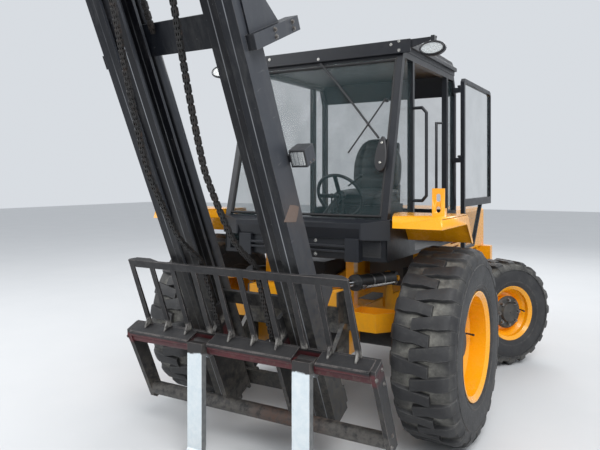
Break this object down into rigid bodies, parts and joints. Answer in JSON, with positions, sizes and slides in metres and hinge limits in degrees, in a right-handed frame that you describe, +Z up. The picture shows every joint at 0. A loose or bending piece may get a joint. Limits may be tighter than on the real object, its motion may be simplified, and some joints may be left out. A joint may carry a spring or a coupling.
{
  "type": "rough terrain forklift",
  "caption": "Yellow four-wheel-drive rough terrain forklift with a black cab, its mast tilted forward and forks on the ground.",
  "frame": {"origin": "on the ground, under the middle of the machine's whole length, fork tips included", "axes": "-Y is forwards, +X is the machine's left side, +Z is up"},
  "size_m": [2.5342, 5.1098, 3.3019],
  "materials": {
    "yellow_paint": "gloss",
    "black_paint": "satin",
    "cab_black": "satin",
    "white_paint": "satin",
    "worn_steel": "satin",
    "chrome": "polished",
    "chain_steel": "matte",
    "tyre_rubber": "matte",
    "rim_yellow": "gloss",
    "glass": "polished",
    "seat_vinyl": "matte",
    "plastic_black": "matte",
    "lamp_clear": "polished",
    "engine_grey": "matte"
  },
  "bodies": {
    "chassis": {"chassis_frame": "yellow_paint", "front_axle": "black_paint", "rear_axle": "black_paint", "counterweight": "yellow_paint", "engine_block": "engine_grey", "side_tanks": "black_paint", "fenders": "yellow_paint", "cab_floor": "cab_black", "cab_frame": "cab_black", "cab_roof": "cab_black", "cab_glass": "glass", "cab_cowl": "cab_black", "seat": "seat_vinyl", "seat_base": "plastic_black", "dash": "plastic_black", "steering_wheel": "plastic_black", "roof_lamps": "cab_black"},
    "hood": {"hood": "yellow_paint"},
    "door": {"door": "cab_black", "door_glass": "glass"},
    "wheel_front_left": {"tyre_front_left": "tyre_rubber", "rim_front_left": "rim_yellow"},
    "wheel_front_right": {"tyre_front_right": "tyre_rubber", "rim_front_right": "rim_yellow"},
    "knuckle_left": {"knuckle_left": "black_paint"},
    "knuckle_right": {"knuckle_right": "black_paint"},
    "wheel_rear_left": {"tyre_rear_left": "tyre_rubber", "rim_rear_left": "rim_yellow"},
    "wheel_rear_right": {"tyre_rear_right": "tyre_rubber", "rim_rear_right": "rim_yellow"},
    "steer_rod": {"steer_rod": "chrome"},
    "mast": {"outer_mast": "black_paint", "lift_barrels": "black_paint", "chain_rear": "chain_steel"},
    "inner_mast": {"inner_mast": "black_paint", "sheaves": "chain_steel", "chain_front": "chain_steel"},
    "carriage": {"carriage": "black_paint", "backrest": "black_paint", "fork_shaft": "worn_steel"},
    "fork_left": {"fork_left": "white_paint"},
    "fork_right": {"fork_right": "white_paint"},
    "tilt_barrel_left": {"tilt_barrel_left": "black_paint"},
    "tilt_barrel_right": {"tilt_barrel_right": "black_paint"},
    "tilt_rod_left": {"tilt_rod_left": "chrome"},
    "tilt_rod_right": {"tilt_rod_right": "chrome"}
  },
  "joints": [
    {"name": "front_left_wheel", "type": "hinge", "parent": "chassis", "child": "wheel_front_left", "pos_m": [0.95, -0.32007, 0.625], "axis": [1, 0, 0], "continuous": true},
    {"name": "steer_left", "type": "hinge", "parent": "chassis", "child": "knuckle_left", "pos_m": [0.715, 1.66993, 0.475], "axis": [0, 0, 1], "range_deg": [-3, 73]},
    {"name": "rear_left_wheel", "type": "hinge", "parent": "knuckle_left", "child": "wheel_rear_left", "pos_m": [0.87883, 1.55521, 0.475], "axis": [0.8192, -0.5736, 0], "continuous": true},
    {"name": "front_right_wheel", "type": "hinge", "parent": "chassis", "child": "wheel_front_right", "pos_m": [-0.95, -0.32007, 0.625], "axis": [1, 0, 0], "continuous": true},
    {"name": "steer_right", "type": "hinge", "parent": "chassis", "child": "knuckle_right", "pos_m": [-0.715, 1.66993, 0.475], "axis": [0, 0, 1], "range_deg": [-3, 73]},
    {"name": "rear_right_wheel", "type": "hinge", "parent": "knuckle_right", "child": "wheel_rear_right", "pos_m": [-0.87883, 1.78464, 0.475], "axis": [0.8192, -0.5736, 0], "continuous": true},
    {"name": "mast_tilt", "type": "hinge", "parent": "chassis", "child": "mast", "pos_m": [0, -0.82007, 0.56], "axis": [1, 0, 0], "range_deg": [-30.5, 2]},
    {"name": "mast_lift", "type": "slide", "parent": "mast", "child": "inner_mast", "axis": [0, -0.4147, 0.91], "range_m": [0, 2.2], "deforming": ["chain_rear"]},
    {"name": "carriage_lift", "type": "slide", "parent": "inner_mast", "child": "carriage", "axis": [0, -0.4147, 0.91], "range_m": [-0.0001, 2.2001], "deforming": ["chain_front"]},
    {"name": "fork_left_swing", "type": "hinge", "parent": "carriage", "child": "fork_left", "pos_m": [0.455, -1.31993, 0.65947], "axis": [1, 0, 0], "range_deg": [-60, 23]},
    {"name": "fork_right_swing", "type": "hinge", "parent": "carriage", "child": "fork_right", "pos_m": [-0.285, -1.31993, 0.65947], "axis": [1, 0, 0], "range_deg": [-60, 23]},
    {"name": "door_swing", "type": "hinge", "parent": "chassis", "child": "door", "pos_m": [0.685, 0.85493, 1.095], "axis": [0, 0, 1], "range_deg": [-180, 0]},
    {"name": "hood_lift", "type": "hinge", "parent": "chassis", "child": "hood", "pos_m": [0, 2.46793, 1.004], "axis": [1, 0, 0], "range_deg": [-65, 0]},
    {"name": "tilt_barrel_left_turn", "type": "hinge", "parent": "chassis", "child": "tilt_barrel_left", "pos_m": [0.412, 0.05993, 0.95], "axis": [1, 0, 0], "range_deg": [-6.34, 0.42]},
    {"name": "tilt_rod_left_slide", "type": "slide", "parent": "tilt_barrel_left", "child": "tilt_rod_left", "axis": [0, -0.996, 0.0898], "range_m": [-0.26898, 0.01773]},
    {"name": "tilt_barrel_right_turn", "type": "hinge", "parent": "chassis", "child": "tilt_barrel_right", "pos_m": [-0.412, 0.05993, 0.95], "axis": [1, 0, 0], "range_deg": [-6.34, 0.42]},
    {"name": "tilt_rod_right_slide", "type": "slide", "parent": "tilt_barrel_right", "child": "tilt_rod_right", "axis": [0, -0.996, 0.0898], "range_m": [-0.26898, 0.01773]},
    {"name": "steer_rod_slide", "type": "slide", "parent": "chassis", "child": "steer_rod", "axis": [1, 0, 0], "range_m": [-0.2189, 0.00909]}
  ],
  "couplings": [
    {"joint": "steer_right", "follows": "steer_left", "ratio": 1},
    {"joint": "carriage_lift", "follows": "mast_lift", "ratio": 1},
    {"joint": "tilt_barrel_left_turn", "follows": "mast_tilt", "ratio": 0.20793},
    {"joint": "tilt_rod_left_slide", "follows": "mast_tilt", "m_per_rad": 0.5051},
    {"joint": "tilt_barrel_right_turn", "follows": "mast_tilt", "ratio": 0.20793},
    {"joint": "tilt_rod_right_slide", "follows": "mast_tilt", "m_per_rad": 0.5051},
    {"joint": "steer_rod_slide", "follows": "steer_left", "m_per_rad": -0.17173}
  ]
}
